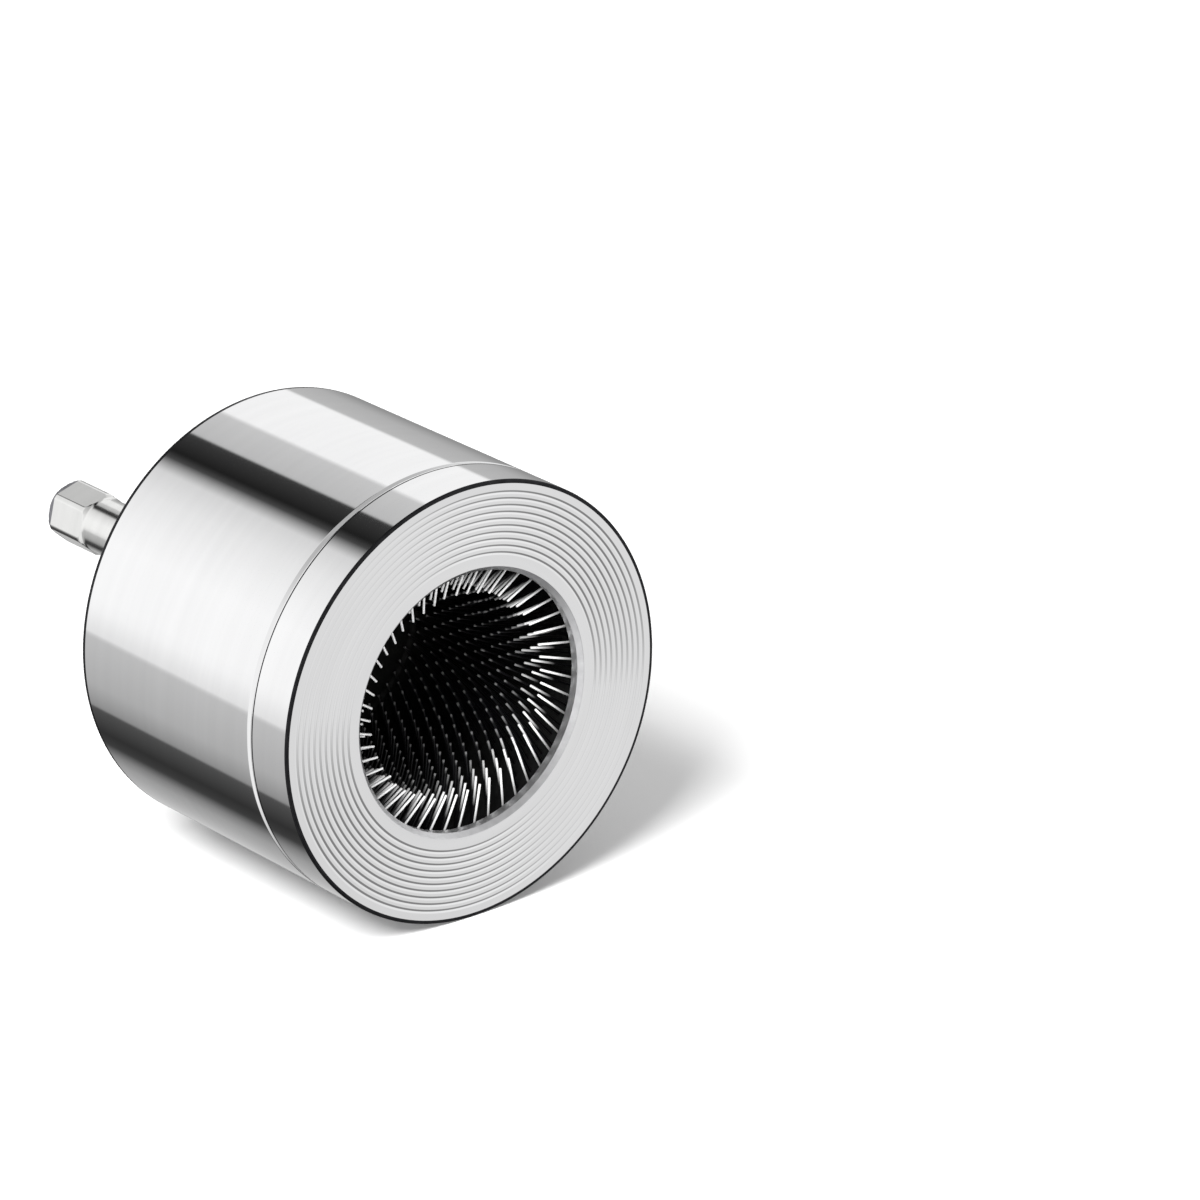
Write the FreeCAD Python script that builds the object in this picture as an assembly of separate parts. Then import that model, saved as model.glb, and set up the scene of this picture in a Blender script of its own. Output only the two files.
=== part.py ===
import FreeCAD, Part
import math
import os

from FreeCAD import Vector

# Drill-driven tube brush: a turned cup lined with leaning steel wires, which scours the outside of a
# tube pushed into its mouth. It stands out of a drill's chuck on a hexagonal shank.
#
# Frame, in millimetres: the tool lies on its side with +Z up. Its axis is the Y axis, the origin is the
# centre of the mouth on the front face, the front face looks along -Y and the shank points along +Y.
# A station is a distance behind the front face, so it is also a Y coordinate.

# --- Cup: barrel and screwed cap ------------------------------------------------------------------
body_radius = 24.0  # barrel and cap share one outside diameter
body_length = 35.6  # front face to back face
cap_rim_length = 6.0  # front face to the seam
mouth_radius = 14.2  # lets a 28 mm tube in
lip_thickness = 1.5  # front wall of the cap around the mouth
cup_wall = 4.2  # barrel and cap around the liner's space
floor_thickness = 8.4  # back wall of the barrel
rim_chamfer = 0.35
seam_chamfer = 0.3
seam_gap = 0.10
mouth_chamfer = 0.5

# Turned rings on the front face
ring_pitch = 0.72
ring_width = 0.40
ring_depth = 0.075
ring_margin = 0.6  # plain land at the rim and at the mouth

# --- Cap thread, right-handed ---------------------------------------------------------------------
thread_pitch = 1.5
thread_wall = 2.0  # outside of the barrel to the bottom of its thread
thread_depth_share = 0.5  # of the pitch
thread_tip_share = 0.2  # flat on the crest, of the pitch
thread_half_angle = 30.0
thread_clearance = 0.12  # between the two threads, square to each flank
thread_overlap = 0.15  # how deep a ridge is rooted in its neck
spigot_length = 6.4  # cap behind the seam
spigot_neck_length = 1.0  # plain neck in front of the ridge
spigot_end_clearance = 0.25  # end of the spigot to the shoulder in the barrel
barrel_relief_length = 1.7  # undercut in front of that shoulder

# --- Liner: wire staples in a rolled strip of rubber-faced cloth ----------------------------------
cloth_thickness = 0.9
rubber_thickness = 1.0
liner_clearance = 0.2  # crowns of the staples to the bore
liner_joint_width = 0.36  # where the strip's two ends meet
thrust_washer_thickness = 0.4
thrust_washer_cover = 0.1  # how far it reaches inwards past the cloth
axial_clearance = 0.06  # play between stacked pieces that come apart
disc_thickness = 1.5
disc_clearance = 0.1

# --- Wires ----------------------------------------------------------------------------------------
wire_radius = 0.13
staples_per_row = 24  # each has two legs
row_count = 17
row_edge_margin = 0.7  # first and last row to the liner's edges
tip_reach = 3.1  # tips stand inside the mouth's radius by this
tip_lean = 25.0  # from the radius at the tip, in degrees

# --- Shank fastening ------------------------------------------------------------------------------
stud_radius = 2.95
stud_hole_clearance = 0.1
stud_chamfer = 0.4
nut_flats = 10.0
nut_height = 3.2
nut_chamfer = 0.5
nut_bore_clearance = 0.03
nut_pocket_clearance = 1.6  # around the nut's corners, for a box spanner
stud_past_nut = 0.3
stud_end_clearance = 0.3  # end of the stud to the stop disc
lock_washer_thickness = 1.2
lock_washer_rim = 0.6  # stands out past the nut's flats
lock_washer_split = 0.8

# --- Shank ----------------------------------------------------------------------------------------
shank_flats = 6.35  # quarter-inch hexagon across flats
shank_corner_loss = 0.15  # turned off each corner of the hexagon
shank_length = 36.0  # stands out of the back face
shank_end_chamfer = 0.7
shank_tip_length = 6.4  # hexagon beyond the detent band
band_depth = 0.08  # below the hexagon's flats
band_length = 6.2
hexagon_length = 15.0  # long hexagon between band and neck
neck_step = 0.7  # stands out past the hexagon's corners
neck_taper = 1.0
flange_width = 2.8  # stands out past the neck
flange_thickness = 2.6
flange_chamfer = 0.5
hexagon_turn = 17.0  # one corner's angle from +X towards +Z, in degrees

# --- Derived stations and radii -------------------------------------------------------------------
barrel_front = cap_rim_length + seam_gap
floor_station = body_length - floor_thickness
spigot_end = cap_rim_length + spigot_length
shoulder_station = spigot_end + spigot_end_clearance
bore_radius = body_radius - cup_wall
thread_major_radius = body_radius - thread_wall
thread_minor_radius = thread_major_radius - thread_depth_share * thread_pitch
thread_tip_width = thread_tip_share * thread_pitch
tip_radius = mouth_radius - tip_reach
crown_radius = bore_radius - liner_clearance - wire_radius  # centre line of the staples' crowns
cloth_outer_radius = crown_radius - wire_radius
cloth_inner_radius = cloth_outer_radius - cloth_thickness
rubber_inner_radius = cloth_inner_radius - rubber_thickness
thrust_washer_station = lip_thickness + axial_clearance
liner_front = thrust_washer_station + thrust_washer_thickness + axial_clearance
disc_front = floor_station - disc_thickness
liner_length = disc_front - liner_front
row_pitch = (liner_length - 2 * row_edge_margin) / (row_count - 1)
staple_angle = 360.0 / staples_per_row
stud_end = floor_station + stud_end_clearance
nut_front = stud_end + stud_past_nut
nut_back = nut_front + nut_height
pocket_station = nut_back + lock_washer_thickness
nut_corner_radius = nut_flats / math.sqrt(3)
nut_pocket_radius = nut_corner_radius + nut_pocket_clearance
lock_washer_radius = nut_flats / 2 + lock_washer_rim
shank_end = body_length + shank_length
shank_corner_radius = shank_flats / math.sqrt(3) - shank_corner_loss
band_radius = shank_flats / 2 - band_depth
neck_radius = shank_corner_radius + neck_step
flange_radius = neck_radius + flange_width

ORIGIN = Vector(0, 0, 0)
AXIS = Vector(0, 1, 0)


# --- Helpers --------------------------------------------------------------------------------------
def turned(profile):
    """Solid of revolution about the tool's axis, from a closed list of (radius, station)."""
    corners = [Vector(radius, station, 0) for radius, station in profile]
    face = Part.Face(Part.makePolygon(corners + corners[:1]))
    return face.revolve(ORIGIN, AXIS, 360)


def tube(inner, outer, start, end):
    return turned([(inner, start), (outer, start), (outer, end), (inner, end)])


def polar(radius, angle, station):
    """Point at an angle in degrees from +X towards +Z."""
    turn = math.radians(angle)
    return Vector(radius * math.cos(turn), station, radius * math.sin(turn))


def hexagon(flats, start, end, turn):
    """Hexagonal bar along the axis, with one corner at the given angle."""
    corners = [polar(flats / math.sqrt(3), turn + 60 * side, start) for side in range(7)]
    return Part.Face(Part.makePolygon(corners)).extrude(Vector(0, end - start, 0))


def turn_about_axis(shape, angle):
    """Copy of a shape, turned from +X towards +Z."""
    copy = shape.copy()
    copy.rotate(ORIGIN, AXIS, -angle)
    return copy


def helical_bar(inner, outer, outer_width, start, end):
    """Right-handed trapezoid bar wound about the axis, whose end station sets where its turns fall.

    It is wound about +Z, and then turned so that +Z becomes -Y.
    """
    flank = (outer - inner) * math.tan(math.radians(thread_half_angle))
    half_outer = outer_width / 2
    half_inner = half_outer + flank
    section = Part.makePolygon(
        [
            Vector(inner, 0, -half_inner),
            Vector(outer, 0, -half_outer),
            Vector(outer, 0, half_outer),
            Vector(inner, 0, half_inner),
            Vector(inner, 0, -half_inner),
        ]
    )
    helix = Part.makeLongHelix(thread_pitch, end - start, inner)
    bar = Part.Wire(helix).makePipeShell([section], True, True)
    bar.rotate(ORIGIN, Vector(1, 0, 0), 90)
    bar.translate(Vector(0, end, 0))
    return bar


# --- Cup ------------------------------------------------------------------------------------------
cap_neck_radius = thread_minor_radius - thread_clearance
cap_crest_radius = thread_major_radius - thread_clearance
cap_ridge_height = cap_crest_radius - cap_neck_radius + thread_overlap
cap_ridge_half = thread_tip_width / 2 + cap_ridge_height * math.tan(math.radians(thread_half_angle))
thread_end = spigot_end - cap_ridge_half  # both threads are wound from this station


def face_rings():
    """Profile points of the turned rings on the front face, from the rim inwards."""
    outer = body_radius - rim_chamfer - ring_margin
    inner = mouth_radius + mouth_chamfer + ring_margin
    points = []
    for ring in range(int((outer - inner) / ring_pitch)):
        centre = outer - (ring + 0.5) * ring_pitch
        points += [(centre + ring_width / 2, 0), (centre, ring_depth), (centre - ring_width / 2, 0)]
    return points


def front_cap():
    """Screwed ring with a front lip around the mouth and a threaded spigot behind the seam."""
    end_chamfer = (cap_neck_radius - bore_radius) / 3
    cap = turned(
        [(body_radius - rim_chamfer, 0)]
        + face_rings()
        + [
            (mouth_radius + mouth_chamfer, 0),
            (mouth_radius, mouth_chamfer),
            (mouth_radius, lip_thickness),
            (bore_radius, lip_thickness),
            (bore_radius, spigot_end),
            (cap_neck_radius - end_chamfer, spigot_end),
            (cap_neck_radius, spigot_end - end_chamfer),
            (cap_neck_radius, cap_rim_length),
            (body_radius - seam_chamfer, cap_rim_length),
            (body_radius, cap_rim_length - seam_chamfer),
            (body_radius, rim_chamfer),
        ]
    )
    ridge_start = cap_rim_length + spigot_neck_length + cap_ridge_half
    ridge = helical_bar(
        cap_neck_radius - thread_overlap, cap_crest_radius, thread_tip_width, ridge_start, thread_end
    )
    return cap.fuse(ridge)


def barrel():
    """Cup with a threaded mouth, a bore for the liner and a pocket for the nut in its floor."""
    undercut = thread_major_radius + thread_clearance
    relief_station = shoulder_station - barrel_relief_length
    cup = turned(
        [
            (undercut, barrel_front),
            (body_radius - seam_chamfer, barrel_front),
            (body_radius, barrel_front + seam_chamfer),
            (body_radius, body_length - rim_chamfer),
            (body_radius - rim_chamfer, body_length),
            (stud_radius + stud_hole_clearance, body_length),
            (stud_radius + stud_hole_clearance, pocket_station),
            (nut_pocket_radius, pocket_station),
            (nut_pocket_radius, floor_station),
            (bore_radius, floor_station),
            (bore_radius, shoulder_station),
            (undercut, shoulder_station),
            (undercut, relief_station),
            (thread_minor_radius, relief_station),
            (thread_minor_radius, barrel_front + undercut - thread_minor_radius),
        ]
    )
    half_angle = math.radians(thread_half_angle)
    widening = 2 * thread_clearance * (1 / math.cos(half_angle) - math.tan(half_angle))
    groove = helical_bar(
        thread_minor_radius - thread_overlap,
        thread_major_radius,
        thread_tip_width + widening,
        barrel_front - thread_pitch,
        thread_end,
    )
    return cup.cut(groove)


# --- Liner ----------------------------------------------------------------------------------------
lean_offset = tip_radius * math.sin(math.radians(tip_lean))  # from the axis to each wire's line


def wire_angle(radius):
    """How far a wire lags behind its tip at a radius, in degrees."""
    return math.degrees(math.acos(lean_offset / radius) - math.acos(lean_offset / tip_radius))


def strip(inner, outer):
    """One layer of the liner, with the slot where the strip's ends meet between two staples."""
    layer = tube(inner, outer, liner_front, disc_front)
    slot = Part.makeBox(3 * (outer - inner), liner_length * 2, liner_joint_width)
    slot.translate(Vector(inner - (outer - inner), 0, -liner_joint_width / 2))
    middle = (inner + outer) / 2
    return layer.cut(turn_about_axis(slot, staple_angle * 7 / 8 - wire_angle(middle)))


def staple():
    """One wire bent to a U: two leaning legs, joined outside the cloth by a crown."""
    lag = wire_angle(crown_radius)
    leg_angles = (0, staple_angle / 2)
    roots = [polar(crown_radius, angle - lag, 0) for angle in leg_angles]
    tips = [polar(tip_radius, angle, 0) for angle in leg_angles]
    path = Part.Wire(Part.makePolygon([tips[0], roots[0], roots[1], tips[1]]))
    section = Part.Wire(Part.makeCircle(wire_radius, tips[0], roots[0] - tips[0]))
    sharp_corners = 1
    return path.makePipeShell([section], True, False, sharp_corners)


def wire_row(row):
    """Ring of staples. Every second row is turned by half a wire's spacing."""
    shift = (row % 2) * staple_angle / 4
    station = Vector(0, liner_front + row_edge_margin + row * row_pitch, 0)
    legs = staple()
    ring = []
    for place in range(staples_per_row):
        copy = turn_about_axis(legs, shift + place * staple_angle)
        copy.translate(station)
        ring.append(copy)
    return Part.makeCompound(ring)


def thrust_washer():
    return tube(
        cloth_inner_radius - thrust_washer_cover,
        bore_radius - liner_clearance,
        thrust_washer_station,
        thrust_washer_station + thrust_washer_thickness,
    )


def stop_disc():
    return tube(0, bore_radius - disc_clearance, disc_front, floor_station)


# --- Shank and its fastening ----------------------------------------------------------------------
def lock_nut():
    turned_blank = turned(
        [
            (stud_radius + nut_bore_clearance, nut_front),
            (nut_corner_radius - nut_chamfer, nut_front),
            (nut_corner_radius, nut_front + nut_chamfer / 2),
            (nut_corner_radius, nut_back - nut_chamfer / 2),
            (nut_corner_radius - nut_chamfer, nut_back),
            (stud_radius + nut_bore_clearance, nut_back),
        ]
    )
    return turned_blank.common(hexagon(nut_flats, nut_front, nut_back, 0))


def lock_washer():
    """Split spring washer between the nut and the floor of its pocket."""
    ring = tube(stud_radius + stud_hole_clearance, lock_washer_radius, nut_back, pocket_station)
    split = Part.makeBox(lock_washer_radius, 3 * lock_washer_thickness, lock_washer_split)
    split.translate(Vector(stud_radius / 2, nut_back - lock_washer_thickness, 0))
    return ring.cut(split)


def hexagon_shank():
    """Turned shank with stud, flange and neck, milled to a hexagon on each side of a round band."""
    tip_start = shank_end - shank_tip_length
    band_start = tip_start - band_length
    hexagon_start = band_start - hexagon_length
    corner = shank_corner_radius
    run_out = corner - band_radius
    turned_blank = turned(
        [
            (0, stud_end),
            (stud_radius - stud_chamfer, stud_end),
            (stud_radius, stud_end + stud_chamfer),
            (stud_radius, body_length),
            (flange_radius, body_length),
            (flange_radius, body_length + flange_thickness - flange_chamfer),
            (flange_radius - flange_chamfer, body_length + flange_thickness),
            (neck_radius, body_length + flange_thickness),
            (neck_radius, hexagon_start - neck_taper),
            (corner, hexagon_start),
            (corner, band_start - run_out),
            (band_radius, band_start),
            (band_radius, tip_start),
            (corner, tip_start + run_out),
            (corner, shank_end - shank_end_chamfer / 2),
            (corner - shank_end_chamfer, shank_end),
            (0, shank_end),
        ]
    )
    plain_part = tube(0, body_radius, stud_end, hexagon_start)
    milled_part = hexagon(shank_flats, hexagon_start, shank_end, hexagon_turn)
    return turned_blank.common(plain_part.fuse(milled_part))


# --- Write one file per piece ---------------------------------------------------------------------
def pieces():
    made = {
        "front_cap": front_cap(),
        "barrel": barrel(),
        "thrust_washer": thrust_washer(),
        "liner_cloth": strip(cloth_inner_radius, cloth_outer_radius),
        "liner_rubber": strip(rubber_inner_radius, cloth_inner_radius),
        "stop_disc": stop_disc(),
        "lock_nut": lock_nut(),
        "lock_washer": lock_washer(),
        "hexagon_shank": hexagon_shank(),
    }
    for row in range(row_count):
        made[f"wire_row_{row + 1:02d}"] = wire_row(row)
    return made


os.makedirs("parts", exist_ok=True)
for name, shape in pieces().items():
    shape.exportStep(f"parts/{name}.step")
    print(name, "valid" if shape.isValid() else "NOT VALID", len(shape.Solids), round(shape.Volume, 2))
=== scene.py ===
import math
import random

import bmesh
import bpy
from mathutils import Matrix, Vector

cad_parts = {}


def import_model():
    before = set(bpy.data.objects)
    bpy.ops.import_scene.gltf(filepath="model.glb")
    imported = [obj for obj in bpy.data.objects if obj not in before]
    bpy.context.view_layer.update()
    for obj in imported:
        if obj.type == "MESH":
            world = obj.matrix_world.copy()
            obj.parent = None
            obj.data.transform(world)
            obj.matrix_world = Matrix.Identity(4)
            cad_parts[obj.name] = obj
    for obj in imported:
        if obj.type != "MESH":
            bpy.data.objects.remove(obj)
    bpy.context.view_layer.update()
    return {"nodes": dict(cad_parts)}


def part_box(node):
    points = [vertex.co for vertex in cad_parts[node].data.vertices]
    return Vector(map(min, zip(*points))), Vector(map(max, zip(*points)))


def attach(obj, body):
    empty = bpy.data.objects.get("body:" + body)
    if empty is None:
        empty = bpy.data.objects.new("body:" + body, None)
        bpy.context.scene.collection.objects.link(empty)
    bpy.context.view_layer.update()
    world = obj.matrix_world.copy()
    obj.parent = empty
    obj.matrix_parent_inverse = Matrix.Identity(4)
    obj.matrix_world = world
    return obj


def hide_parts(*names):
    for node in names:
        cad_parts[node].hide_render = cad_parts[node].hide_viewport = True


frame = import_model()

MM = 0.001

# --- Sizes from the frame -------------------------------------------------------------------------
body_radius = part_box("barrel")[1].x
body_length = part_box("barrel")[1].y
barrel_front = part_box("barrel")[0].y
spigot_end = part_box("front_cap")[1].y
rubber_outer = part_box("liner_rubber")[1].x
liner_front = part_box("liner_cloth")[0].y
liner_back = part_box("liner_cloth")[1].y
disc_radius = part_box("stop_disc")[1].x
floor_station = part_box("stop_disc")[1].y
pocket_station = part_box("lock_washer")[1].y
shank_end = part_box("hexagon_shank")[1].y
stud_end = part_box("hexagon_shank")[0].y
row_names = sorted(name for name in frame["nodes"] if name.startswith("wire_row_"))

# --- Sizes that the frame's boxes don't give, the same as the part's own --------------------------
mouth_radius = 14.2 * MM
lip_thickness = 1.5 * MM
cup_wall = 4.2 * MM
seam_gap = 0.10 * MM
mouth_chamfer = 0.5 * MM
ring_pitch = 0.72 * MM
ring_width = 0.40 * MM
ring_depth = 0.075 * MM
ring_margin = 0.6 * MM
thread_pitch = 1.5 * MM
thread_wall = 2.0 * MM
thread_depth = thread_pitch / 2
thread_tip = thread_pitch / 5
thread_clearance = 0.12 * MM
thread_overlap = 0.15 * MM
thread_half_angle = math.radians(30)
thread_slope = math.tan(thread_half_angle)
spigot_neck = 1.0 * MM
barrel_relief = 1.7 * MM
spigot_end_clearance = 0.25 * MM
wire_radius = 0.13 * MM
staples_per_row = 24
tip_radius = mouth_radius - 3.1 * MM
tip_lean = math.radians(25)
row_edge_margin = 0.7 * MM
rubber_thickness = 1.0 * MM
liner_clearance = 0.2 * MM
liner_joint_width = 0.36 * MM
disc_thickness = 1.5 * MM
stud_radius = 2.95 * MM
stud_hole_radius = 3.05 * MM
nut_flats = 10.0 * MM
nut_pocket_clearance = 1.6 * MM
nut_pocket_radius = nut_flats / math.sqrt(3) + nut_pocket_clearance
shank_flats = 6.35 * MM
shank_corner = shank_flats / math.sqrt(3) - 0.15 * MM
shank_end_chamfer = 0.7 * MM
shank_tip_length = 6.4 * MM
band_radius = shank_flats / 2 - 0.08 * MM
band_length = 6.2 * MM
hexagon_length = 15.0 * MM
neck_radius = shank_corner + 0.7 * MM
neck_taper = 1.0 * MM
flange_radius = neck_radius + 2.8 * MM
flange_thickness = 2.6 * MM
hexagon_turn = math.radians(17)

bore_radius = body_radius - cup_wall
cap_rim = barrel_front - seam_gap
thread_major = body_radius - thread_wall
thread_minor = thread_major - thread_depth
cap_neck = thread_minor - thread_clearance
cap_crest = thread_major - thread_clearance
ridge_half_width = thread_tip / 2 + (cap_crest - cap_neck + thread_overlap) * thread_slope
thread_end = spigot_end - ridge_half_width  # both threads are wound from this station

# --- Sizes of the finish and of the painted shade lines, which the plain part leaves out ----------
front_edge_round = 0.28 * MM
rear_edge_round = 0.28 * MM
cap_seam_round = 0.2 * MM
barrel_seam_chamfer = 0.42 * MM
# Widths of dark bands that are painted shade beside the rims and the seam
rim_painted_shade = 0.12 * MM  # painted shade: dark lines beside the rounded rims
rear_painted_shade = 0.22 * MM
seam_painted_shade = 0.18 * MM
back_ring_pitch = 0.85 * MM
back_ring_width = 0.24 * MM
back_ring_depth = 0.03 * MM
inner_round = 0.1 * MM  # broken edges out of sight
groove_lip_round = 0.04 * MM
groove_bottom_round = 0.03 * MM
seam_corner_round = 0.05 * MM
clear_of_round = 1.1  # how many rounds from a corner a line starts
clear_of_rear_round = 1.35
hair = 0.001 * MM  # tells two stations or radii apart

# --- Camera ---------------------------------------------------------------------------------------
camera_azimuth = math.radians(-39.06)
camera_elevation = math.radians(21.76)
camera_distance = 30.07 * body_radius
focal_length = 210.5  # mm on a 36 mm sensor
aim_right = 0.545 * body_radius  # the view's centre, from the centre of the front face
aim_up = 0.443 * body_radius


def make_camera():
    a, e = camera_azimuth, camera_elevation
    back = Vector((math.sin(a) * math.cos(e), -math.cos(a) * math.cos(e), math.sin(e)))
    right = Vector((math.cos(a), math.sin(a), 0))
    up = back.cross(right)
    data = bpy.data.cameras.new("camera")
    data.lens = focal_length
    data.sensor_width = 36
    data.clip_start = 0.05
    data.clip_end = 20
    camera = bpy.data.objects.new("camera", data)
    camera.location = right * aim_right + up * aim_up + back * camera_distance
    camera.rotation_mode = "QUATERNION"
    camera.rotation_quaternion = (-back).to_track_quat("-Z", "Y")
    bpy.context.scene.collection.objects.link(camera)
    bpy.context.scene.camera = camera


# --- Node helpers ---------------------------------------------------------------------------------
class Nodes:
    """Short calls for building one material's node tree."""

    def __init__(self, name):
        self.material = bpy.data.materials.new(name)
        self.material.use_nodes = True
        self.tree = self.material.node_tree
        self.tree.nodes.clear()
        self.output = self.tree.nodes.new("ShaderNodeOutputMaterial")

    def add(self, kind, **settings):
        node = self.tree.nodes.new("ShaderNode" + kind)
        for key, value in settings.items():
            setattr(node, key, value)
        return node

    def link(self, source, target):
        self.tree.links.new(source, target)

    def math(self, operation, first, second=0.0):
        node = self.add("Math", operation=operation)
        for socket, value in zip(node.inputs, (first, second)):
            if isinstance(value, (int, float)):
                socket.default_value = value
            else:
                self.link(value, socket)
        return node.outputs[0]

    def combine(self, x, y, z):
        node = self.add("CombineXYZ")
        for socket, value in zip(node.inputs, (x, y, z)):
            if isinstance(value, (int, float)):
                socket.default_value = value
            else:
                self.link(value, socket)
        return node.outputs[0]

    def noise(self, vector, scale, detail=3.0, roughness=0.5):
        node = self.add("TexNoise")
        self.link(vector, node.inputs["Vector"])
        node.inputs["Scale"].default_value = scale
        node.inputs["Detail"].default_value = detail
        node.inputs["Roughness"].default_value = roughness
        return node.outputs["Fac"]

    def ramp(self, factor, stops, interpolation="LINEAR"):
        node = self.add("ValToRGB")
        node.color_ramp.interpolation = interpolation
        elements = node.color_ramp.elements
        while len(elements) > 1:
            elements.remove(elements[0])
        for index, (position, colour) in enumerate(stops):
            element = elements[0] if index == 0 else elements.new(position)
            element.position = position
            if isinstance(colour, (int, float)):
                colour = (colour, colour, colour)
            element.color = (*colour, 1)
        self.link(factor, node.inputs["Fac"])
        return node.outputs["Color"]

    def bump(self, height, strength, distance, normal=None):
        node = self.add("Bump")
        node.inputs["Strength"].default_value = strength
        node.inputs["Distance"].default_value = distance
        self.link(height, node.inputs["Height"])
        if normal is not None:
            self.link(normal, node.inputs["Normal"])
        return node.outputs["Normal"]

    def principled(self, **values):
        shader = self.add("BsdfPrincipled")
        for key, value in values.items():
            socket = shader.inputs[key.replace("_", " ").title().replace("Ior", "IOR")]
            if isinstance(value, bpy.types.NodeSocket):
                self.link(value, socket)
            else:
                socket.default_value = value
        self.link(shader.outputs["BSDF"], self.output.inputs["Surface"])
        return self.material


def turning_marks(nodes, fine):
    """Noise drawn out around the tool's axis: fine sets the marks across it, per metre."""
    coordinates = nodes.add("TexCoord").outputs["Object"]
    split = nodes.add("SeparateXYZ")
    nodes.link(coordinates, split.inputs[0])
    x, y, z = split.outputs
    radius = nodes.math("SQRT", nodes.math("ADD", nodes.math("MULTIPLY", x, x), nodes.math("MULTIPLY", z, z)))
    around = 60.0  # per metre, along the marks
    across = nodes.math("ADD", nodes.math("MULTIPLY", radius, fine), nodes.math("MULTIPLY", x, around))
    along = nodes.math("ADD", nodes.math("MULTIPLY", y, fine), nodes.math("MULTIPLY", z, around))
    return nodes.combine(across, along, 0.0)


def turned_metal(name, light, dark, rough, smooth, mark_height):
    """Lathe-turned metal: fine marks round the axis, in faint wider bands."""
    nodes = Nodes(name)
    marks_per_metre, bands_per_metre = 9000.0, 700.0
    marks = turning_marks(nodes, marks_per_metre)
    bands = turning_marks(nodes, bands_per_metre)
    fine_noise = nodes.noise(marks, 1.0, 4.0, 0.6)
    band_noise = nodes.noise(bands, 1.0, 2.0)
    colour = nodes.ramp(band_noise, [(0.3, dark), (0.7, light)])
    roughness = nodes.ramp(fine_noise, [(0.3, smooth), (0.75, rough)])
    tangent = nodes.add("Tangent", direction_type="RADIAL", axis="Y").outputs[0]
    return nodes.principled(
        base_color=colour,
        metallic=1.0,
        roughness=roughness,
        anisotropic=0.6,
        anisotropic_rotation=0.25,
        tangent=tangent,
        normal=nodes.bump(fine_noise, 1.0, mark_height),
    )


def plain_metal(name, light, dark, rough, smooth, scale):
    """Metal without turning marks: a cloudy tone with a fine grain in it."""
    nodes = Nodes(name)
    grain_height, grain_per_cloud = 0.004 * MM, 9
    coordinates = nodes.add("TexCoord").outputs["Object"]
    cloud = nodes.noise(coordinates, scale, 4.0)
    grain = nodes.noise(coordinates, scale * grain_per_cloud, 2.0)
    return nodes.principled(
        base_color=nodes.ramp(cloud, [(0.3, dark), (0.7, light)]),
        metallic=1.0,
        roughness=nodes.ramp(grain, [(0.3, smooth), (0.7, rough)]),
        normal=nodes.bump(grain, 0.6, grain_height),
    )


def wire_material():
    """Drawn steel wire, light at its ground tip and near the mouth and near-black deeper in the cup: the
    fall-off with depth is painted shade, and the tip's lightness is partly the ground tip and partly a
    painted highlight for its glint.
    """
    nodes = Nodes("wire_with_painted_shade")
    lit_depth, leg_height = 12 * MM, 5 * MM
    coordinates = nodes.add("TexCoord").outputs["Object"]
    split = nodes.add("SeparateXYZ")
    nodes.link(coordinates, split.inputs[0])
    x, y, z = split.outputs
    radius = nodes.math("SQRT", nodes.math("ADD", nodes.math("MULTIPLY", x, x), nodes.math("MULTIPLY", z, z)))
    # painted shade: the wire darkens with depth into the cup and down its leg away from the tip, where little
    # light from the mouth reaches
    depth = nodes.math("DIVIDE", nodes.math("SUBTRACT", y, liner_front), lit_depth)
    height = nodes.math("DIVIDE", nodes.math("SUBTRACT", radius, tip_radius), leg_height)
    lit_leg_reach = nodes.ramp(depth, [(0.07, 1.0), (0.14, 0.50), (0.30, 0.34), (0.45, 0.10), (0.6, 0.05)])
    fade = nodes.math("SUBTRACT", 1.25, nodes.math("DIVIDE", height, lit_leg_reach))
    leg = nodes.math("MINIMUM", nodes.math("MAXIMUM", fade, 0.0), 1.0)
    near = nodes.ramp(depth, [(0.14, 1.0), (0.28, 0.55), (0.42, 0.14), (0.7, 0.05)])
    # lighter tips: the ground tip, and a painted highlight for its glint
    ground = nodes.ramp(height, [(0.01, 0.26), (0.06, 0.0)])
    painted_light = nodes.math("MAXIMUM", nodes.math("MULTIPLY", near, leg), ground)
    grain = nodes.noise(coordinates, 9000.0, 2.0)
    streak = nodes.math("ADD", nodes.math("MULTIPLY", grain, 0.3), 0.82)
    shine = nodes.math("MULTIPLY", painted_light, streak)
    return nodes.principled(
        base_color=nodes.ramp(shine, [(0.0, (0.006, 0.006, 0.007)), (1.0, 0.97)]),
        metallic=0.35,
        roughness=nodes.ramp(grain, [(0.3, 0.25), (0.7, 0.4)]),
        normal=nodes.bump(grain, 0.5, 0.002 * MM),
    )


def weave_material():
    """Plied canvas: two sets of threads that cross, seen at the edges of the liner."""
    nodes = Nodes("woven_canvas")
    threads_round, weave_pitch = 40.0, 0.9 * MM
    split = nodes.add("SeparateXYZ")
    nodes.link(nodes.add("TexCoord").outputs["Object"], split.inputs[0])
    x, y, z = split.outputs
    turn = nodes.math("MULTIPLY", nodes.math("ARCTAN2", z, x), threads_round)
    warp = nodes.math("SINE", nodes.math("MULTIPLY", turn, math.pi))
    weft = nodes.math("SINE", nodes.math("MULTIPLY", y, 2 * math.pi / weave_pitch))
    threads = nodes.math("ADD", nodes.math("MULTIPLY", nodes.math("MULTIPLY", warp, weft), 0.5), 0.5)
    return nodes.principled(
        base_color=nodes.ramp(threads, [(0.2, (0.035, 0.032, 0.027)), (0.8, (0.12, 0.11, 0.09))]),
        roughness=nodes.ramp(threads, [(0.2, 0.95), (0.8, 0.8)]),
        normal=nodes.bump(threads, 0.8, 0.06 * MM),
    )


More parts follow.
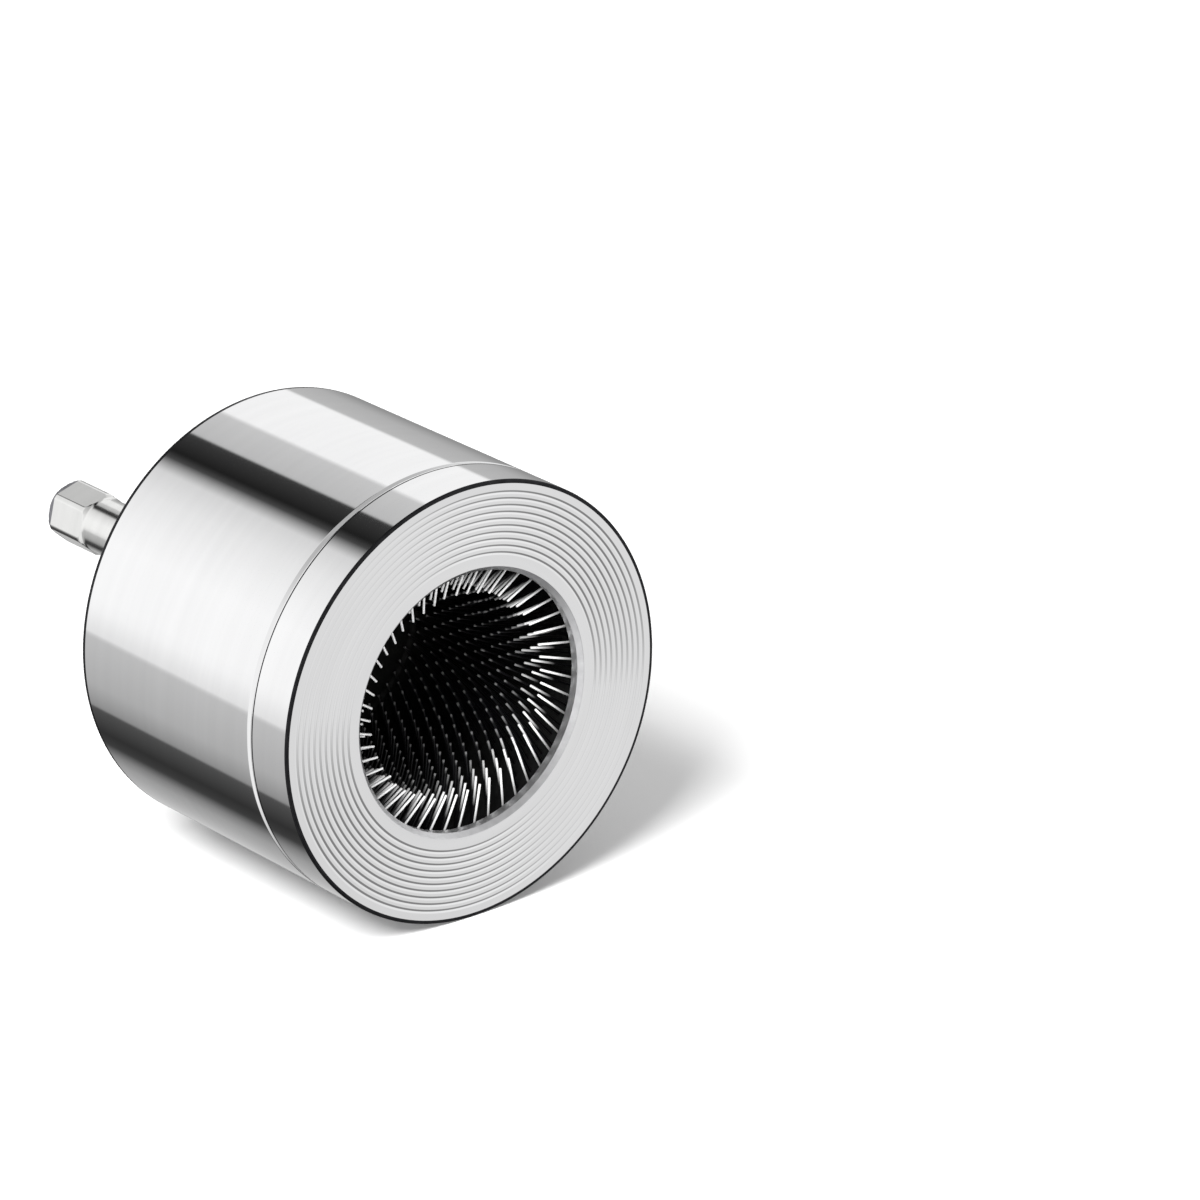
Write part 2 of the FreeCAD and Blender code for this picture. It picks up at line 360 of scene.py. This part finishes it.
def fibre_material():
    """Black pressed fibre board."""
    nodes = Nodes("hard_fibre")
    coordinates = nodes.add("TexCoord").outputs["Object"]
    cloud = nodes.noise(coordinates, 350.0, 5.0, 0.65)
    grain = nodes.noise(coordinates, 2600.0, 4.0, 0.7)
    return nodes.principled(
        base_color=nodes.ramp(cloud, [(0.3, (0.005, 0.005, 0.0045)), (0.7, (0.010, 0.009, 0.008))]),
        roughness=nodes.ramp(grain, [(0.3, 0.55), (0.7, 0.75)]),
        normal=nodes.bump(grain, 0.7, 0.03 * MM),
        specular_ior_level=0.3,
    )


def rubber_material():
    """Matt black rubber with a fine grain."""
    nodes = Nodes("black_rubber")
    coordinates = nodes.add("TexCoord").outputs["Object"]
    cloud = nodes.noise(coordinates, 500.0, 4.0)
    grain = nodes.noise(coordinates, 4500.0, 3.0)
    return nodes.principled(
        base_color=nodes.ramp(cloud, [(0.3, (0.004, 0.004, 0.004)), (0.7, (0.009, 0.009, 0.009))]),
        roughness=nodes.ramp(grain, [(0.3, 0.62), (0.7, 0.8)]),
        normal=nodes.bump(grain, 0.6, 0.03 * MM),
        specular_ior_level=0.2,
    )


# --- Mesh helpers ---------------------------------------------------------------------------------
def finish_mesh(name, vertices, faces, body, node, materials, sharp=40.0, indices=None):
    """Makes a piece from vertices and faces, merges what coincides, and puts it on its body for node."""
    merge_distance, smallest_edge = 2e-7, 1e-7
    mesh = bpy.data.meshes.new(name)
    mesh.from_pydata(vertices, [], faces)
    if indices:
        mesh.polygons.foreach_set("material_index", indices)
    work = bmesh.new()
    work.from_mesh(mesh)
    bmesh.ops.remove_doubles(work, verts=work.verts, dist=merge_distance)
    bmesh.ops.dissolve_degenerate(work, edges=work.edges, dist=smallest_edge)
    bmesh.ops.recalc_face_normals(work, faces=work.faces)
    work.to_mesh(mesh)
    work.free()
    for material in materials:
        mesh.materials.append(material)
    mesh.polygons.foreach_set("use_smooth", [True] * len(mesh.polygons))
    mesh.set_sharp_from_angle(angle=math.radians(sharp))
    piece = bpy.data.objects.new(name, mesh)
    bpy.context.scene.collection.objects.link(piece)
    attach(piece, body)
    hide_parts(node)


def rounded(corners, steps=5):
    """Closed profile with arcs at its corners. A corner is (radius, station, round, tag)."""
    reach_share, support_share = 0.45, 0.48  # of the side next to a corner, at most
    support_reach = 1.05  # a point just past each arc keeps the flat beside it flat
    points = []
    count = len(corners)
    for index, (radius, station, size, tag) in enumerate(corners):
        here = Vector((radius, station))
        before = Vector(corners[index - 1][:2])
        after = Vector(corners[(index + 1) % count][:2])
        if not size:
            points.append((radius, station, 0))
            continue
        into, out = (before - here).normalized(), (after - here).normalized()
        half = into.angle(out) / 2
        reach = min(size, reach_share * (before - here).length, reach_share * (after - here).length)
        arc_radius = reach * math.tan(half)
        start, end = here + into * reach, here + out * reach
        centre = here + (into + out).normalized() * (reach / math.cos(half))
        support = here + into * min(reach * support_reach, support_share * (before - here).length)
        points.append((support.x, support.y, 0))
        first, last = start - centre, end - centre
        for step in range(steps + 1):
            share = step / steps
            ray = first.slerp(last, share) if first.angle(last) > 1e-4 else first
            spot = centre + ray.normalized() * arc_radius
            points.append((spot.x, spot.y, tag if step < steps else 0))
        support = here + out * min(reach * support_reach, support_share * (after - here).length)
        points.append((support.x, support.y, 0))
    return points


def lathe(profile_at, segments, closed=True):
    """Vertices, faces and tags of a profile turned about Y. profile_at(angle) gives (r, y, tag), and a face
    takes the tag of the point that starts it."""
    vertices, faces, tags = [], [], []
    columns = []
    for column in range(segments + 1):
        angle = 2 * math.pi * column / segments
        profile = profile_at(angle)
        columns.append(len(vertices))
        turn = (math.cos(angle), math.sin(angle))
        vertices += [(radius * turn[0], station, radius * turn[1]) for radius, station, tag in profile]
        if column:
            count = len(profile)
            first, second = columns[-2], columns[-1]
            for row in range(count if closed else count - 1):
                after = (row + 1) % count
                faces.append((first + row, first + after, second + after, second + row))
                tags.append(profile[row][2])
    return vertices, faces, tags


def thread_rows(angle, start, end, valley, crest, tip):
    """Stations and radii of a right-handed thread along one meridian, from start to end."""
    flank = abs(crest - valley) * thread_slope
    middle = thread_end - thread_pitch * angle / (2 * math.pi)
    first = math.floor((start - thread_end) / thread_pitch) - 1
    last = math.ceil((end - thread_end) / thread_pitch) + 2
    points = []
    for turn in range(first, last + 1):
        centre = middle + turn * thread_pitch
        for offset, radius in (
            (-tip / 2 - flank, valley), (-tip / 2, crest), (tip / 2, crest), (tip / 2 + flank, valley)
        ):
            station = min(max(centre + offset, start), end)
            inside = start < centre + offset < end
            points.append((radius if inside else valley, station, 0))
    return points


# --- Cup ------------------------------------------------------------------------------------------
SEGMENTS = 384
SHANK_SEGMENTS = 288
# On the cup, EDGE takes the painted shade of the rims and of the band beside the seam
EDGE, SEAM, FACED = 1, 2, 3  # material tags beside the plain turned metal, 0


def face_rings(outer, inner, station, pitch, width, depth):
    """Corners of the V grooves turned into a flat face, from the rim inwards."""
    corners = []
    for ring in range(int((outer - inner) / pitch)):
        centre = outer - (ring + 0.5) * pitch
        corners += [
            (centre + width / 2, station, groove_lip_round, 0),
            (centre, station + depth, groove_bottom_round, 0),
            (centre - width / 2, station, groove_lip_round, 0),
        ]
    return corners


def front_cap(materials):
    """Screwed ring: ringed face, rim with a painted shade line, mouth with its lip, and the threaded spigot;
    a painted shade band also runs beside the seam.
    """
    relief = cap_rim + spigot_neck
    end_round = (cap_neck - bore_radius) / 3
    shade_band_end = cap_rim - clear_of_round * cap_seam_round
    shade_band_start = shade_band_end - seam_painted_shade
    rim_land = body_radius - clear_of_round * front_edge_round - rim_painted_shade
    rings = face_rings(
        rim_land - ring_margin, mouth_radius + mouth_chamfer + ring_margin, 0,
        ring_pitch, ring_width, ring_depth,
    )
    outside = rounded(
        [(body_radius, 0, front_edge_round, EDGE), (rim_land, 0, 0, 0)]
        + rings
        + [
            (mouth_radius + mouth_chamfer, 0, groove_lip_round, SEAM),
            (mouth_radius, mouth_chamfer, groove_lip_round, 0),
            (mouth_radius, lip_thickness, inner_round, 0),
            (bore_radius, lip_thickness, inner_round, 0),
            (bore_radius, spigot_end, inner_round, 0),
            (cap_neck, spigot_end, end_round, 0),
            (cap_neck, cap_rim, 0, 0),
            (body_radius, cap_rim, cap_seam_round, 0),
            (body_radius, shade_band_end, 0, 0),
            (body_radius, shade_band_start, 0, 0),
        ]
    )
    lip_wall = mouth_radius + mouth_chamfer + groove_lip_round / 2

    def retag(radius, station, tag):
        if radius < lip_wall and station < lip_thickness:
            return SEAM
        # painted shade: the band beside the seam, and the land and round of the front rim
        if shade_band_start < station <= shade_band_end or station == 0 and radius > rim_land + hair:
            return EDGE
        return tag

    outside = [(radius, station, retag(radius, station, tag)) for radius, station, tag in outside]
    split = next(i for i, point in enumerate(outside) if point[:2] == (cap_neck, cap_rim))

    def profile(angle):
        rows = thread_rows(angle, relief, spigot_end - end_round, cap_neck, cap_crest, thread_tip)
        return outside[:split] + rows[::-1] + outside[split:]

    vertices, faces, tags = lathe(profile, SEGMENTS)
    finish_mesh(
        "front_cap_turned", vertices, faces, "cap", "front_cap", materials, indices=tags
    )


def barrel(materials):
    """Cup behind the seam: bright chamfer, painted shade line at the rear rim, ringed back face and threaded,
    satin bore.
    """
    undercut = thread_major + thread_clearance
    shoulder = spigot_end + spigot_end_clearance
    relief = shoulder - barrel_relief
    shade_band_start = body_length - clear_of_rear_round * rear_edge_round - rear_painted_shade
    widening = 2 * thread_clearance * (1 / math.cos(thread_half_angle) - thread_slope)
    face_rim = body_radius - rear_edge_round
    rings = face_rings(
        face_rim - ring_margin, flange_radius + ring_margin, body_length,
        back_ring_pitch, back_ring_width, -back_ring_depth,
    )
    outside = rounded(
        [
            (undercut, barrel_front, 0, 0),
            (body_radius - barrel_seam_chamfer, barrel_front, seam_corner_round, 0),
            (body_radius, barrel_front + barrel_seam_chamfer, seam_corner_round, 0),
            (body_radius, shade_band_start, 0, 0),
            (body_radius, body_length, rear_edge_round, EDGE),
        ]
        + rings
        + [
            (stud_hole_radius, body_length, inner_round, SEAM),
            (stud_hole_radius, pocket_station, inner_round, SEAM),
            (nut_pocket_radius, pocket_station, inner_round, SEAM),
            (nut_pocket_radius, floor_station, inner_round, SEAM),
            (bore_radius, floor_station, inner_round, SEAM),
            (bore_radius, shoulder, inner_round, SEAM),
            (undercut, shoulder, inner_round, SEAM),
            (undercut, relief, 0, SEAM),
        ]
    )
    ring_floor = body_length - clear_of_round * back_ring_depth

    def retag(radius, station, tag):
        # painted shade: the rear rim and the band in front of it
        if station >= shade_band_start and radius > face_rim:
            return EDGE
        if station > ring_floor and radius < face_rim:
            return FACED
        return tag

    outside = [(radius, station, retag(radius, station, tag)) for radius, station, tag in outside]
    lead_in = barrel_front + undercut - thread_minor

    def profile(angle):
        rows = thread_rows(angle, lead_in, relief, thread_minor, thread_major, thread_tip + widening)
        return outside + [(radius, station, SEAM) for radius, station, _ in rows[::-1]]

    vertices, faces, tags = lathe(profile, SEGMENTS)
    finish_mesh(
        "barrel_turned", vertices, faces, "body", "barrel", materials, indices=tags
    )


# --- Liner ----------------------------------------------------------------------------------------
lean_offset = tip_radius * math.sin(tip_lean)
crown_radius = bore_radius - liner_clearance - wire_radius
staple_angle = 2 * math.pi / staples_per_row
row_pitch = (liner_back - liner_front - 2 * row_edge_margin) / (len(row_names) - 1)


def polar(radius, angle, station):
    return Vector((radius * math.cos(angle), station, radius * math.sin(angle)))


def wire_angle(radius):
    """How far a wire lags behind its tip at a radius."""
    return math.acos(lean_offset / radius) - math.acos(lean_offset / tip_radius)


def round_tube(path, radius, sides, vertices, faces):
    """Adds a round tube along a path, with its ends closed by a low dome."""
    first = len(vertices)
    side = None
    rings = []
    count = len(path)
    for index, point in enumerate(path):
        ahead = path[min(index + 1, count - 1)] - path[max(index - 1, 0)]
        ahead.normalize()
        if side is None:
            side = ahead.orthogonal().normalized()
        side = (side - ahead * side.dot(ahead)).normalized()
        other = ahead.cross(side)
        rings.append((point, side, other, ahead))
    start, end = rings[0], rings[-1]
    dome_height, dome_flat = radius * 0.25, 0.72 * radius
    sections = [
        (start[0], start[1], start[2], dome_flat),
        (start[0] + start[3] * dome_height, start[1], start[2], radius),
    ]
    sections += [(point, side, other, radius) for point, side, other, ahead in rings[1:-1]]
    sections += [
        (end[0] - end[3] * dome_height, end[1], end[2], radius),
        (end[0], end[1], end[2], dome_flat),
    ]
    for point, side, other, size in sections:
        for step in range(sides):
            turn = 2 * math.pi * step / sides
            vertices.append(point + (side * math.cos(turn) + other * math.sin(turn)) * size)
    for ring in range(len(sections) - 1):
        for step in range(sides):
            after = (step + 1) % sides
            a = first + ring * sides
            faces.append((a + step, a + after, a + sides + after, a + sides + step))
    faces.append(tuple(first + step for step in reversed(range(sides))))
    last = first + (len(sections) - 1) * sides
    faces.append(tuple(last + step for step in range(sides)))


def staple_path(turn, station, draw):
    """Centre line of one staple: a tip, a leg, the crown round the cloth, a leg and a tip."""
    path = []
    corner, wander_size, length_spread = 0.34 * MM, 0.045 * MM, 0.05
    for leg, angle in enumerate((turn, turn + staple_angle / 2)):
        wander = Vector((draw.gauss(0, 1), draw.gauss(0, 1), draw.gauss(0, 1))) * wander_size
        tip = polar(tip_radius + draw.gauss(0, length_spread) * MM, angle, station) + wander
        root = polar(crown_radius, angle - wire_angle(crown_radius), station)
        middle = (tip + root) / 2 + wander * 0.2
        inwards = (tip - root).normalized()
        across = polar(1, angle + math.pi / 2 - wire_angle(crown_radius), 0) * (1 if leg == 0 else -1)
        bend = [
            root + inwards * corner * (1 - math.sin(share)) + across * corner * (1 - math.cos(share))
            for share in (0, math.pi / 6, math.pi / 3, math.pi / 2)
        ]
        leg_points = [tip, middle] + bend
        path += leg_points if leg == 0 else leg_points[::-1]
    return path


def wire_rows(material):
    """Every ring of staples, each second one turned by half the space between two tips."""
    sides = 8
    draw = random.Random(7)
    for row, name in enumerate(row_names):
        vertices, faces = [], []
        station = liner_front + row_edge_margin + row * row_pitch
        for place in range(staples_per_row):
            turn = (place + (row % 2) / 4) * staple_angle
            round_tube(staple_path(turn, station, draw), wire_radius, sides, vertices, faces)
        piece_name = name.replace("wire_row", "wires")
        finish_mesh(piece_name, vertices, faces, "body", name, [material], sharp=60)


def rubber_face(material):
    """The rubber layer as a strip whose ends nearly meet, puckered up round every wire."""
    inner = rubber_outer - rubber_thickness
    joint = liner_joint_width / inner
    start = staple_angle * 7 / 8 - wire_angle(inner) + joint / 2  # between two wires
    columns_per_staple, rows_per_ring, spare_rows = 12, 6, 12
    columns = int((2 * math.pi - joint) / (staple_angle / columns_per_staple))
    rows = rows_per_ring * len(row_names) + spare_rows
    pucker_height, pucker_width, grain_height = 0.14 * MM, 0.34 * MM, 0.006
    draw = random.Random(3)

    def surface(angle, station):
        row = min(max(round((station - liner_front - row_edge_margin) / row_pitch), 0), len(row_names) - 1)
        along = station - (liner_front + row_edge_margin + row * row_pitch)
        place = (angle + wire_angle(inner)) / (staple_angle / 2) - (row % 2) / 2
        around = (place - round(place)) * staple_angle / 2 * inner
        lift = pucker_height * math.exp(-(along * along + around * around) / pucker_width**2)
        return inner - lift + draw.uniform(-1, 1) * grain_height * MM

    vertices, faces = [], []
    for column in range(columns + 1):
        angle = start + (2 * math.pi - joint) * column / columns
        stations = [liner_front + (liner_back - liner_front) * row / rows for row in range(rows + 1)]
        section = [(surface(angle, station), station) for station in stations]
        section += [(rubber_outer, liner_back), (rubber_outer, liner_front)]
        base = len(vertices)
        vertices += [polar(radius, angle, station) for radius, station in section]
        count = len(section)
        if column:
            for row in range(count):
                after = (row + 1) % count
                faces.append((base - count + row, base - count + after, base + after, base + row))
    faces.append(tuple(range(count)))
    faces.append(tuple(range(len(vertices) - count, len(vertices)))[::-1])
    finish_mesh("rubber_face", vertices, faces, "body", "liner_rubber", [material])


def stop_disc(material):
    """Pressed disc at the floor of the liner, with a low step where the tube lands and a dimple."""
    front = floor_station - disc_thickness
    step_depth, step_round = 0.3 * MM, 0.15 * MM
    step_radius = tip_radius + 1.5 * MM
    dimple_rim, dimple_floor, dimple_round = 4.2 * MM, 3.6 * MM, 0.2 * MM
    profile = rounded(
        [
            (disc_radius, floor_station, inner_round, 0),
            (disc_radius, front, 0.25 * MM, 0),
            (step_radius, front, step_round, 0),
            (step_radius - step_depth, front + step_depth, step_round, 0),
            (dimple_rim, front + step_depth, dimple_round, 0),
            (dimple_floor, front + 2 * step_depth, dimple_round, 0),
            (0, front + 2 * step_depth, 0, 0),
            (0, floor_station, 0, 0),
        ]
    )
    vertices, faces, _ = lathe(lambda angle: profile, SEGMENTS // 2)
    finish_mesh("stop_disc_pressed", vertices, faces, "body", "stop_disc", [material])


# --- Shank ----------------------------------------------------------------------------------------
def hexagon_shank(materials):
    """Turned shank with its stud and flange, and the hexagon milled on it."""
    tip_start = shank_end - shank_tip_length
    band_start = tip_start - band_length
    hexagon_start = band_start - hexagon_length
    run_out = shank_corner - band_radius
    outline = rounded(
        [
            (0, stud_end, 0, 0),
            (stud_radius, stud_end, 0.4 * MM, 0),
            (stud_radius, body_length, 0.05 * MM, 0),
            (flange_radius, body_length, 0.12 * MM, 0),
            (flange_radius, body_length + flange_thickness, 0.5 * MM, 0),
            (neck_radius, body_length + flange_thickness, 0.25 * MM, 0),
            (neck_radius, hexagon_start - neck_taper, 0.3 * MM, 0),
            (shank_corner, hexagon_start, 0.1 * MM, 0),
            (shank_corner, band_start - run_out, 0.15 * MM, 0),
            (band_radius, band_start, 0.2 * MM, 0),
            (band_radius, tip_start, 0.2 * MM, 0),
            (shank_corner, tip_start + run_out, 0.15 * MM, 0),
            (shank_corner, shank_end, shank_end_chamfer, EDGE),
            (0, shank_end, 0, 0),
        ]
    )
    longest = 0.25 * MM  # distance between points along the profile
    fine = []
    for first, second in zip(outline, outline[1:]):
        pieces = max(1, math.ceil(math.hypot(second[0] - first[0], second[1] - first[1]) / longest))
        for piece in range(pieces):
            share = piece / pieces
            radius, station = (first[k] + (second[k] - first[k]) * share for k in (0, 1))
            fine.append((radius, station, first[2]))
    fine.append(outline[-1])
    softness = 0.02 * MM  # of the edges between flats and turned faces
    run_in_length, run_in_height = 0.6 * MM, 0.9  # the cutter leaves the flats in a curve
    milled_radius = band_radius * 0.8

    def profile(angle):
        side = (angle - hexagon_turn) % (math.pi / 3) - math.pi / 6
        flat = shank_flats / 2 / math.cos(side)
        points = []
        for radius, station, tag in fine:
            if station > hexagon_start - neck_taper / 2 and radius > milled_radius:
                lean = max(0.0, 1 - (station - hexagon_start) / run_in_length)
                limit = flat + lean * lean * run_in_height * MM
                gap = max(0.0, 1 - abs(radius - limit) / softness)
                radius = min(radius, limit) - softness * gap * gap / 4
            points.append((radius, station, tag))
        return points

    vertices, faces, tags = lathe(profile, SHANK_SEGMENTS, closed=False)
    finish_mesh(
        "hexagon_shank_milled", vertices, faces, "body", "hexagon_shank", materials,
        indices=tags,
    )


# --- Stage ----------------------------------------------------------------------------------------
def studio_ramp(nodes, angle, stops):
    """Brightness by direction round the tool, from stops of (degrees from +X towards +Z, brightness)."""
    return nodes.ramp(angle, [((degrees + 180) / 360, value) for degrees, value in stops])


# Light bands round the tool, behind and in front of its front face
REAR_LIGHT = [
    (-180, 0.95), (-174, 0.92), (-165, 0.80), (-161, 0.76), (-160, 0.52), (-134, 0.42), (-121, 0.27),
    (-119.5, 0.075), (-104, 0.03), (-96, 0.045), (-88, 0.22), (-80, 0.33), (-50, 0.55), (-34, 0.24),
    (-14, 0.28), (2, 0.42), (20, 0.48), (22, 0.90), (61, 0.90), (62.5, 0.57), (81.5, 0.50), (83, 0.04),
    (96, 0.012), (100, 0.06), (104, 0.36), (108, 0.66), (122, 0.80), (138, 0.90), (152, 0.96), (180, 0.95),
]
FRONT_LIGHT = [
    (-180, 0.90), (-130, 0.85), (-110, 0.50), (-95, 0.22), (-62, 0.22), (-50, 0.32), (-42, 0.62),
    (-36, 0.71), (-20, 0.73), (0, 0.80), (20, 0.88), (40, 0.75), (60, 0.50), (80, 0.42), (100, 0.42),
    (120, 0.50), (150, 0.85), (180, 0.90),
]


def reflection_tent():
    """A long lit tube round the tool that only reflections see: soft boxes, flags and a graded base."""
    tent_radius, tent_half, sides = 0.6, 2.0, 96  # metres
    front_end, glow = 0.73, 1.1
    nodes = Nodes("tent_light")
    split = nodes.add("SeparateXYZ")
    nodes.link(nodes.add("TexCoord").outputs["Object"], split.inputs[0])
    x, y, z = split.outputs
    turn = nodes.math("ARCTAN2", z, x)
    angle = nodes.math("ADD", nodes.math("DIVIDE", turn, 2 * math.pi), 0.5)
    mix = nodes.add("MixRGB")
    nodes.link(nodes.math("GREATER_THAN", y, 0.0), mix.inputs["Fac"])
    far = nodes.ramp(nodes.math("DIVIDE", y, -tent_half), [(0.35, 0.0), (1.0, 1.0)])
    front = nodes.add("MixRGB")
    nodes.link(far, front.inputs["Fac"])
    nodes.link(studio_ramp(nodes, angle, FRONT_LIGHT), front.inputs["Color1"])
    front.inputs["Color2"].default_value = (front_end, front_end, front_end, 1)
    nodes.link(front.outputs[0], mix.inputs["Color1"])
    nodes.link(studio_ramp(nodes, angle, REAR_LIGHT), mix.inputs["Color2"])
    emission = nodes.add("Emission")
    emission.inputs["Strength"].default_value = glow
    nodes.link(mix.outputs[0], emission.inputs["Color"])
    nodes.link(emission.outputs[0], nodes.output.inputs["Surface"])

    ring = [polar(tent_radius, 2 * math.pi * step / sides, 0) for step in range(sides)]
    ends = (Vector((0, -tent_half, 0)), Vector((0, tent_half, 0)))
    vertices = [point + end for end in ends for point in ring]
    faces = [(s, (s + 1) % sides, sides + (s + 1) % sides, sides + s) for s in range(sides)]
    faces.append(tuple(range(sides)))
    mesh = bpy.data.meshes.new("tent")
    mesh.from_pydata(vertices, [], faces)
    mesh.materials.append(nodes.material)
    tent = bpy.data.objects.new("tent", mesh)
    bpy.context.scene.collection.objects.link(tent)
    tent.visible_camera = tent.visible_diffuse = tent.visible_shadow = False
    tent.visible_transmission = tent.visible_volume_scatter = False


def floor():
    """Plain white floor that the tool lies on, which reflections don't see."""
    nodes = Nodes("white_floor")
    cloud = nodes.noise(nodes.add("TexCoord").outputs["Object"], 6.0, 2.0)
    material = nodes.principled(
        base_color=nodes.ramp(cloud, [(0.2, 0.76), (0.8, 0.79)]), roughness=0.9, specular_ior_level=0.1
    )
    half, z = 6.0, -body_radius
    corners = [(-half, -half, z), (half, -half, z), (half, half, z), (-half, half, z)]
    mesh = bpy.data.meshes.new("floor")
    mesh.from_pydata(corners, [], [(0, 1, 2, 3)])
    mesh.materials.append(material)
    piece = bpy.data.objects.new("floor", mesh)
    bpy.context.scene.collection.objects.link(piece)
    piece.visible_glossy = False


def world(strength):
    sky = bpy.data.worlds.new("white_room")
    sky.use_nodes = True
    background = sky.node_tree.nodes["Background"]
    background.inputs["Color"].default_value = (1, 1, 1, 1)
    background.inputs["Strength"].default_value = strength
    bpy.context.scene.world = sky


def soft_light(name, place, size, power):
    data = bpy.data.lights.new(name, "AREA")
    data.energy = power
    data.size = size
    light = bpy.data.objects.new(name, data)
    light.location = place
    light.rotation_mode = "QUATERNION"
    light.rotation_quaternion = Vector(place).to_track_quat("Z", "Y")
    light.visible_glossy = False
    bpy.context.scene.collection.objects.link(light)


# --- Scene ----------------------------------------------------------------------------------------
bpy.context.scene.view_settings.view_transform = "Standard"
make_camera()
world(strength=0.72)
floor()
reflection_tent()
soft_light("key", place=(-0.55, -0.25, 0.6), size=0.38, power=15.0)

alloy = turned_metal(
    "turned_alloy", light=(0.90, 0.90, 0.905), dark=(0.87, 0.87, 0.875),
    rough=0.065, smooth=0.035, mark_height=0.00012 * MM,
)
faced = turned_metal(
    "faced_alloy", light=(0.88, 0.88, 0.885), dark=(0.82, 0.82, 0.825),
    rough=0.30, smooth=0.20, mark_height=0.0005 * MM,
)
plated = turned_metal(
    "plated_steel", light=(0.86, 0.86, 0.85), dark=(0.80, 0.80, 0.79),
    rough=0.2, smooth=0.13, mark_height=0.0004 * MM,
)
# Near-black metal on the rims and beside the seam: painted shade for the dark lines these edges show
edge = plain_metal(
    "painted_shade_edge", light=(0.035, 0.035, 0.038), dark=(0.02, 0.02, 0.022),
    rough=0.45, smooth=0.3, scale=900.0,
)
seam = plain_metal(
    "turned_edge", light=(0.80, 0.80, 0.81), dark=(0.68, 0.68, 0.69),
    rough=0.42, smooth=0.3, scale=900.0,
)
spring = plain_metal(
    "spring_steel", light=(0.30, 0.30, 0.32), dark=(0.20, 0.20, 0.22),
    rough=0.4, smooth=0.25, scale=700.0,
)

front_cap([alloy, edge, seam])
barrel([alloy, edge, seam, faced])
wire_rows(wire_material())
rubber_face(rubber_material())
stop_disc(fibre_material())
hexagon_shank([plated, spring])

# Pieces that keep the plain part's own mesh
painted = {
    "liner_cloth": weave_material(), "lock_nut": plated, "lock_washer": spring, "thrust_washer": spring,
}
for node, material in painted.items():
    mesh = frame["nodes"][node].data
    mesh.materials.clear()
    mesh.materials.append(material)
